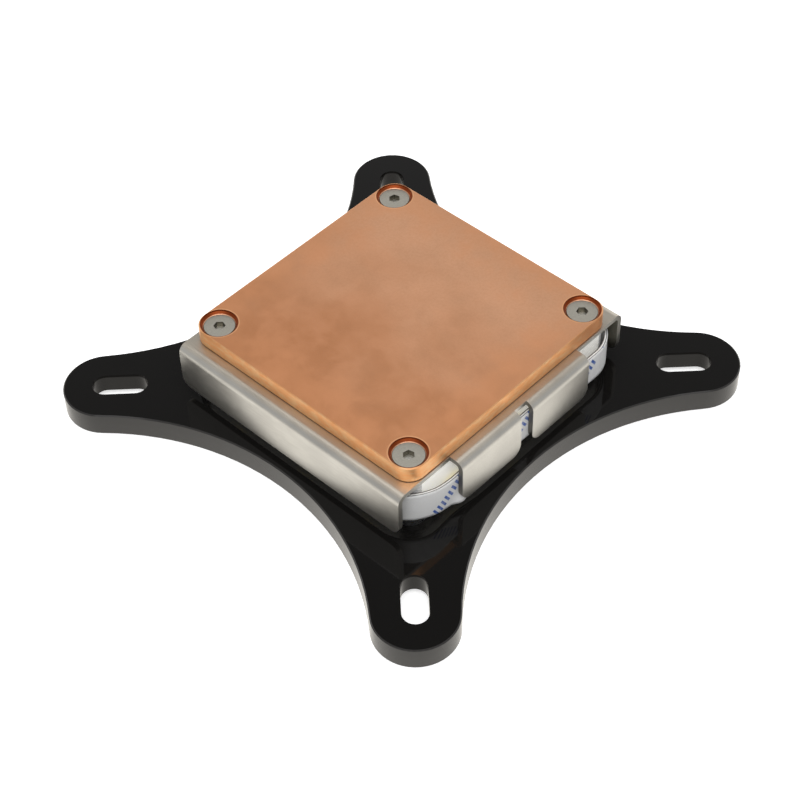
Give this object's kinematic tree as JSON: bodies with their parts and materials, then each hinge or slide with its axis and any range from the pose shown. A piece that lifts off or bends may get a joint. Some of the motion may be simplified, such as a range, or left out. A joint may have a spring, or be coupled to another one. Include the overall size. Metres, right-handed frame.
{
  "type": "liquid cooling cold plate",
  "caption": "Square copper water block for a processor, on a black bracket with slotted arms, with a bent steel cover and a lamp strip round its clear body.",
  "frame": {"origin": "middle of the bracket's outer face, where the part lies on a bench", "axes": "+Z out of the copper contact face, X and Y along the bracket's arms"},
  "size_m": [0.1292, 0.1292, 0.0203],
  "materials": {
    "black_acrylic": "polished faces, satin machined edges",
    "clear_acrylic": "clear, with satin machined sides",
    "brushed_cover": "brushed, bent and left bare",
    "copper": "lapped copper with faint tarnish",
    "seal_rubber": "matt",
    "plain_steel": "rolled",
    "strip_film": "flexible white film",
    "liner_paper": "coated release paper",
    "lamp_resin": "moulded resin",
    "resistor_ceramic": "matt",
    "brass": "turned",
    "screw_steel": "plain stainless"
  },
  "bodies": {
    "root": {"mounting_bracket": "black_acrylic", "block_body": "clear_acrylic", "cover_plate": "brushed_cover", "cold_plate": "copper", "seal_ring": "seal_rubber", "jet_plate": "plain_steel", "light_strip": "strip_film", "strip_liner": "liner_paper", "insert_right": "brass", "screw_right": "screw_steel", "insert_back": "brass", "screw_back": "screw_steel", "insert_left": "brass", "screw_left": "screw_steel", "insert_front": "brass", "screw_front": "screw_steel", "led_01": "lamp_resin", "led_02": "lamp_resin", "led_03": "lamp_resin", "led_04": "lamp_resin", "led_05": "lamp_resin", "led_06": "lamp_resin", "led_07": "lamp_resin", "led_08": "lamp_resin", "led_09": "lamp_resin", "led_10": "lamp_resin", "led_11": "lamp_resin", "led_12": "lamp_resin", "resistor_1": "resistor_ceramic", "resistor_2": "resistor_ceramic", "resistor_3": "resistor_ceramic", "resistor_4": "resistor_ceramic"}
  },
  "joints": []
}
